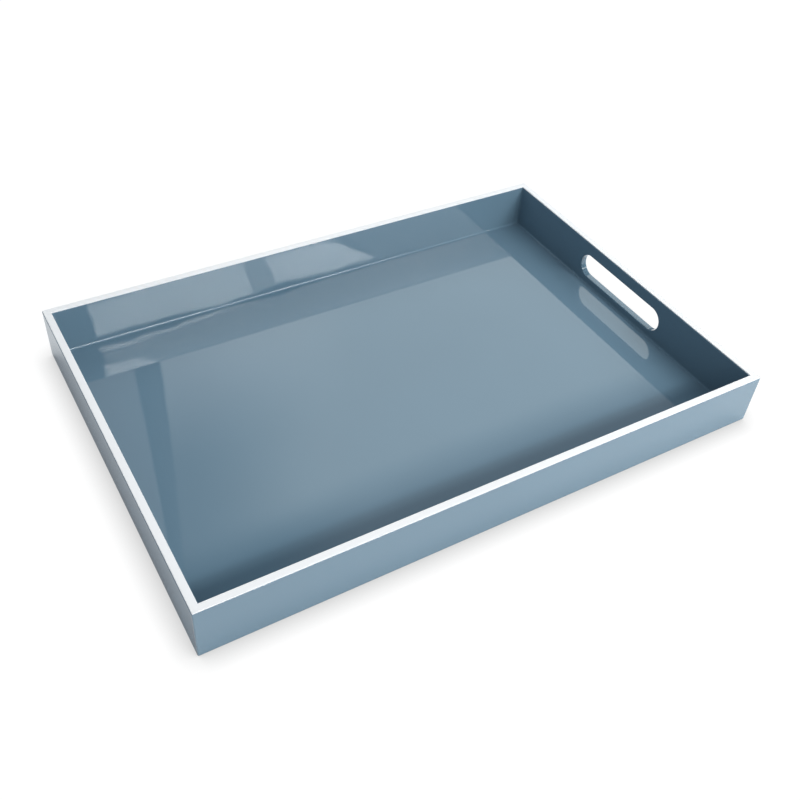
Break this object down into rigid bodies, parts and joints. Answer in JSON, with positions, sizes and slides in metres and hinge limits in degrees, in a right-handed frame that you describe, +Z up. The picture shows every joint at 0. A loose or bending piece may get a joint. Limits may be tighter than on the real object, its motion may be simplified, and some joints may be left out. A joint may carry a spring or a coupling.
{
  "type": "serving tray",
  "caption": "Rectangular serving tray of glossy lacquered board, with thin upright walls, a contrasting rim and a hand slot through one end.",
  "frame": {"origin": "on the surface that the tray stands on, below the middle of the tray", "axes": "+X along the tray towards the end with the hand slot, +Y across it to the other long side, +Z up"},
  "size_m": [0.457, 0.311, 0.0445],
  "materials": {
    "tray_lacquer": "high-gloss slate-blue lacquer on fibreboard",
    "rim_lacquer": "smooth white edge strip",
    "spline_wood": "bare plywood",
    "pad_felt": "dark grey felt"
  },
  "bodies": {
    "root": {"base_panel": "tray_lacquer", "near_side_wall": "tray_lacquer", "right_end_wall": "tray_lacquer", "far_side_wall": "tray_lacquer", "left_end_wall": "tray_lacquer", "near_side_rim": "rim_lacquer", "right_end_rim": "rim_lacquer", "far_side_rim": "rim_lacquer", "left_end_rim": "rim_lacquer", "near_right_spline": "spline_wood", "far_right_spline": "spline_wood", "far_left_spline": "spline_wood", "near_left_spline": "spline_wood", "near_right_pad": "pad_felt", "far_right_pad": "pad_felt", "far_left_pad": "pad_felt", "near_left_pad": "pad_felt"}
  },
  "joints": []
}
